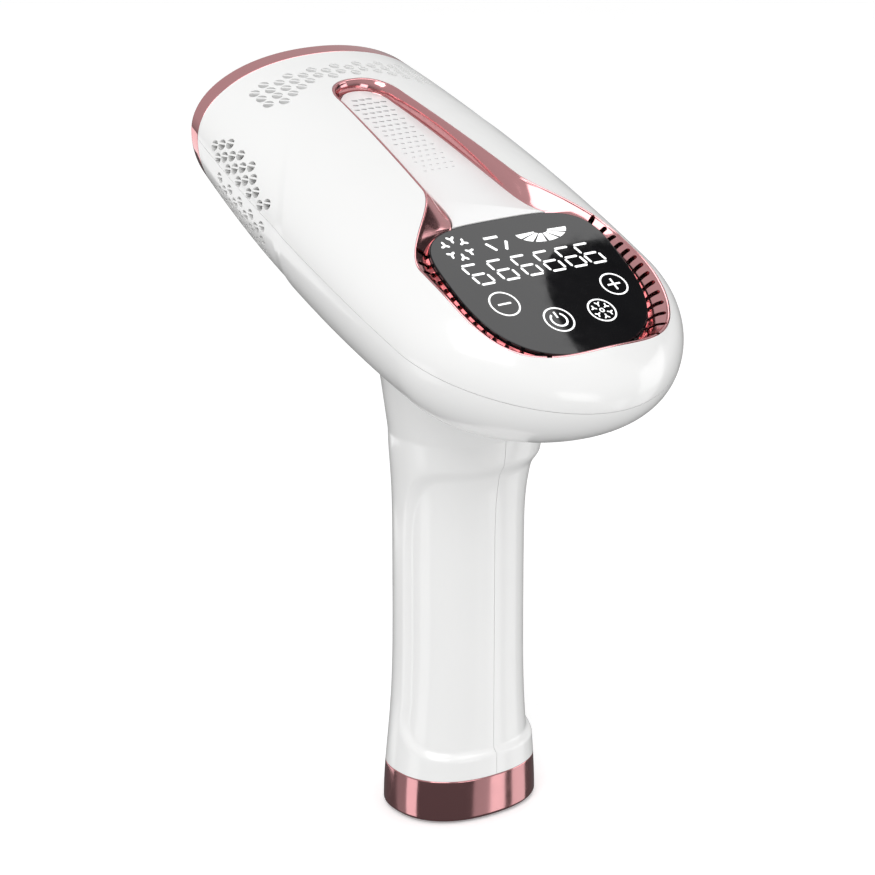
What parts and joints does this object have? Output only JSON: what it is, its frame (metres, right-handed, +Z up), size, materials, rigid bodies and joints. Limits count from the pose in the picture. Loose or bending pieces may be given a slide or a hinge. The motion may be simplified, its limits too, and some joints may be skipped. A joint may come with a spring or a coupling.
{
  "type": "ipl hair remover",
  "caption": "Gun-shaped hand-held light device: tilted oval head with a display on its back, lift-off treatment head in its mouth, trigger, oval handle and base cap.",
  "frame": {"origin": "centre of the plug hole in the flat underside of the base cap", "axes": "+Z up the handle, +Y the way the treatment window faces, +X the user's right when the display faces the user"},
  "size_m": [0.0892, 0.1475, 0.2055],
  "materials": {
    "white_gloss": "smooth glossy white",
    "rose_gold": "rose gold plated, mirror bright",
    "black_glass": "polished black with white print under it",
    "clear_glass": "polished clear",
    "white_matte": "matte white",
    "circuit_board": "green solder mask",
    "bright_steel": "bright zinc",
    "aluminium": "plain extruded",
    "black_matte": "fine matte black",
    "capacitor_sleeve": "shrunk dark blue sleeve",
    "white_ceramic": "unglazed white",
    "copper_winding": "lacquered copper wire"
  },
  "bodies": {
    "handset": {"upper_shell": "white_gloss", "lower_shell": "white_gloss", "spine_panel": "white_gloss", "handle_left": "white_gloss", "handle_right": "white_gloss", "front_ring": "rose_gold", "recess_trim": "rose_gold", "base_cap": "rose_gold", "display_glass": "black_glass", "digit_module": "white_matte", "mouth_bulkhead": "white_matte", "display_board": "circuit_board", "switch_board": "circuit_board", "power_board": "circuit_board", "main_board": "circuit_board", "touch_springs": "bright_steel", "trigger_spring": "bright_steel", "base_screws": "bright_steel", "fan_screws": "bright_steel", "board_screws": "bright_steel", "heat_sink": "aluminium", "trigger_switch": "black_matte", "dc_socket": "black_matte", "head_socket": "black_matte", "fan_frame": "black_matte", "power_transistor": "black_matte", "filter_capacitor": "capacitor_sleeve", "power_capacitor": "capacitor_sleeve", "cooler_module": "white_ceramic", "trigger_coil": "copper_winding"},
    "trigger": {"trigger_button": "white_gloss"},
    "fan": {"fan_rotor": "black_matte"},
    "treatment_head": {"head_housing": "white_gloss", "window_frame": "rose_gold", "window_glass": "clear_glass", "contact_pads": "bright_steel", "flash_lamp": "clear_glass", "lamp_reflector": "aluminium", "lamp_holders": "white_matte"}
  },
  "joints": [
    {"name": "trigger_press", "type": "slide", "parent": "handset", "child": "trigger", "axis": [0, -1, 0], "range_m": [0, 0.0015], "stiffness_N_per_m": 500, "springref_m": -0.001},
    {"name": "fan_spin", "type": "hinge", "parent": "handset", "child": "fan", "pos_m": [0, 0.01704, 0.16083], "axis": [0, -0.9397, -0.342], "continuous": true},
    {"name": "head_release", "type": "slide", "parent": "handset", "child": "treatment_head", "axis": [0, 1, 0], "range_m": [0, 0.035]}
  ]
}
